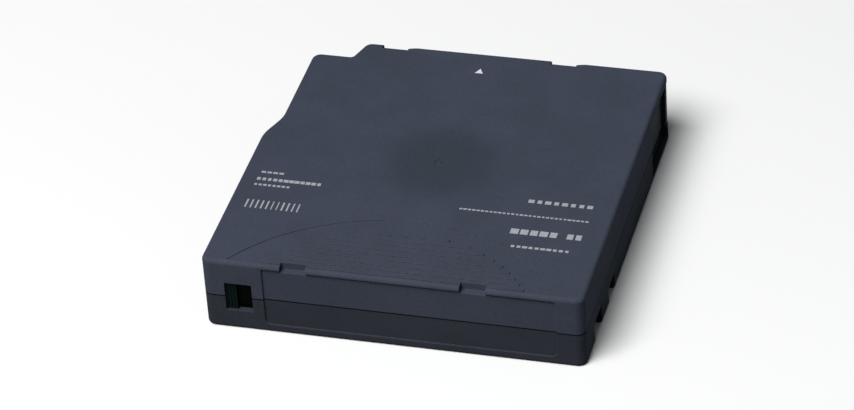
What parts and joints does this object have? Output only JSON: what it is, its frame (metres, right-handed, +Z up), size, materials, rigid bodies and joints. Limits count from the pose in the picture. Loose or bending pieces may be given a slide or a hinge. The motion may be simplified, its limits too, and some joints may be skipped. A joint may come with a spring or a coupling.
{
  "type": "data tape cartridge",
  "caption": "Single-reel half-inch data tape cartridge with a sliding access door, a spring brake inside the hub, a leader pin and a write-protect slider.",
  "frame": {"origin": "on the reel's axis, at the underside of the case", "axes": "+X right along the label face, +Y the way the cartridge goes into a drive, +Z up"},
  "size_m": [0.102, 0.1054, 0.0215],
  "materials": {
    "case_plastic": "fine moulded texture, dark blue grey",
    "knob_plastic": "smooth moulded, dark green grey",
    "door_plastic": "smooth moulded, near black",
    "hub_plastic": "smooth moulded, pale grey",
    "brake_plastic": "smooth moulded, black",
    "release_plastic": "smooth moulded, ivory",
    "plate_steel": "stamped and tumbled",
    "pin_steel": "turned and polished",
    "spring_steel": "drawn wire and strip",
    "screw_steel": "zinc plated",
    "tape_film": "smooth wound film, dark brown",
    "board": "green solder mask",
    "chip": "moulded black epoxy"
  },
  "bodies": {
    "case": {"lower_shell": "case_plastic", "upper_shell": "case_plastic", "case_screws": "screw_steel", "leader_pin": "pin_steel", "tape_clamp": "brake_plastic", "tape_leader": "tape_film", "lower_pin_spring": "spring_steel", "upper_pin_spring": "spring_steel", "memory_board": "board", "memory_chip": "chip"},
    "reel": {"reel_hub": "hub_plastic", "upper_flange": "hub_plastic", "reel_plate": "plate_steel", "tape_pack": "tape_film"},
    "brake": {"brake_button": "brake_plastic", "brake_spring": "spring_steel"},
    "release": {"release_spider": "release_plastic"},
    "door": {"access_door": "door_plastic", "door_spring": "spring_steel"},
    "write_protect": {"write_protect_slider": "knob_plastic"}
  },
  "joints": [
    {"name": "door_slide", "type": "slide", "parent": "case", "child": "door", "axis": [0, -1, 0], "range_m": [0, 0.018], "stiffness_N_per_m": 25, "springref_m": -0.02, "deforming": ["door_spring"]},
    {"name": "write_protect_slide", "type": "slide", "parent": "case", "child": "write_protect", "axis": [1, 0, 0], "range_m": [0, 0.0042]},
    {"name": "reel_spin", "type": "hinge", "parent": "case", "child": "reel", "pos_m": [0, 0, 0.003], "axis": [0, 0, 1], "continuous": true},
    {"name": "brake_lift", "type": "slide", "parent": "case", "child": "brake", "axis": [0, 0, 1], "range_m": [0, 0.0013], "stiffness_N_per_m": 400, "springref_m": -0.004, "deforming": ["brake_spring"]},
    {"name": "release_lift", "type": "slide", "parent": "reel", "child": "release", "axis": [0, 0, 1], "range_m": [0, 0.0013]}
  ],
  "couplings": [
    {"joint": "release_lift", "follows": "brake_lift", "ratio": 1}
  ]
}
